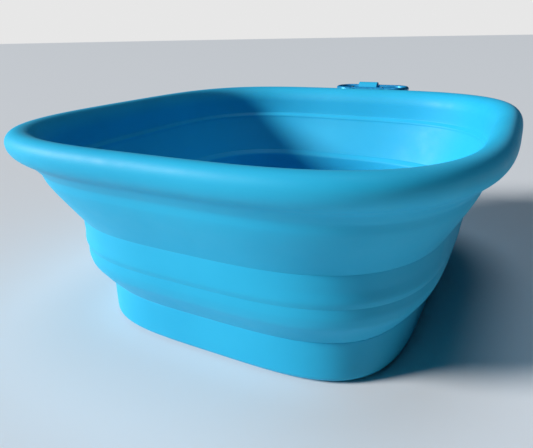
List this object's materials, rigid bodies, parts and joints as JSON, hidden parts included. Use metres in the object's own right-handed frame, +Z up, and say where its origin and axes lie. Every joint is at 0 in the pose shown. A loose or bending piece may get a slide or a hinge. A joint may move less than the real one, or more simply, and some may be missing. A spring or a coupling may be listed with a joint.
{
  "type": "collapsible basin",
  "caption": "Square-plan collapsible silicone basin that folds flat in two steps, with a rim tab and a small sprung clip.",
  "frame": {"origin": "centre of the base underside, on the surface that the basin stands on", "axes": "+Z up, +Y towards the hang tab at the back, +X to the right seen from the front"},
  "size_m": [0.18, 0.1997, 0.0805],
  "materials": {
    "silicone": "matte moulded silicone",
    "clip_metal": "blue coated, satin",
    "pin_steel": "satin"
  },
  "bodies": {
    "base": {"base_cup": "silicone", "lower_web": "silicone"},
    "middle": {"middle_ring": "silicone", "upper_web": "silicone"},
    "rim": {"upper_ring": "silicone", "hang_tab": "silicone"},
    "clip": {"clip_frame": "clip_metal", "gate_pivot_pin": "pin_steel"},
    "gate": {"clip_gate": "clip_metal", "gate_latch_pin": "pin_steel", "gate_spring": "pin_steel"}
  },
  "joints": [
    {"name": "lower_fold", "type": "slide", "parent": "base", "child": "middle", "axis": [0, 0, -1], "range_m": [0, 0.0245], "deforming": ["lower_web"]},
    {"name": "upper_fold", "type": "slide", "parent": "middle", "child": "rim", "axis": [0, 0, -1], "range_m": [0, 0.028], "deforming": ["upper_web"]},
    {"name": "clip_swing", "type": "hinge", "parent": "rim", "child": "clip", "pos_m": [0.0075, 0.107, 0.0778], "axis": [-1, 0, 0], "range_deg": [0, 265]},
    {"name": "gate_swing", "type": "hinge", "parent": "clip", "child": "gate", "pos_m": [-0.0015, 0.091, 0.0778], "axis": [0, 0, 1], "range_deg": [0, 25], "stiffness_Nm_per_rad": 0.01, "springref_deg": -20.05}
  ]
}
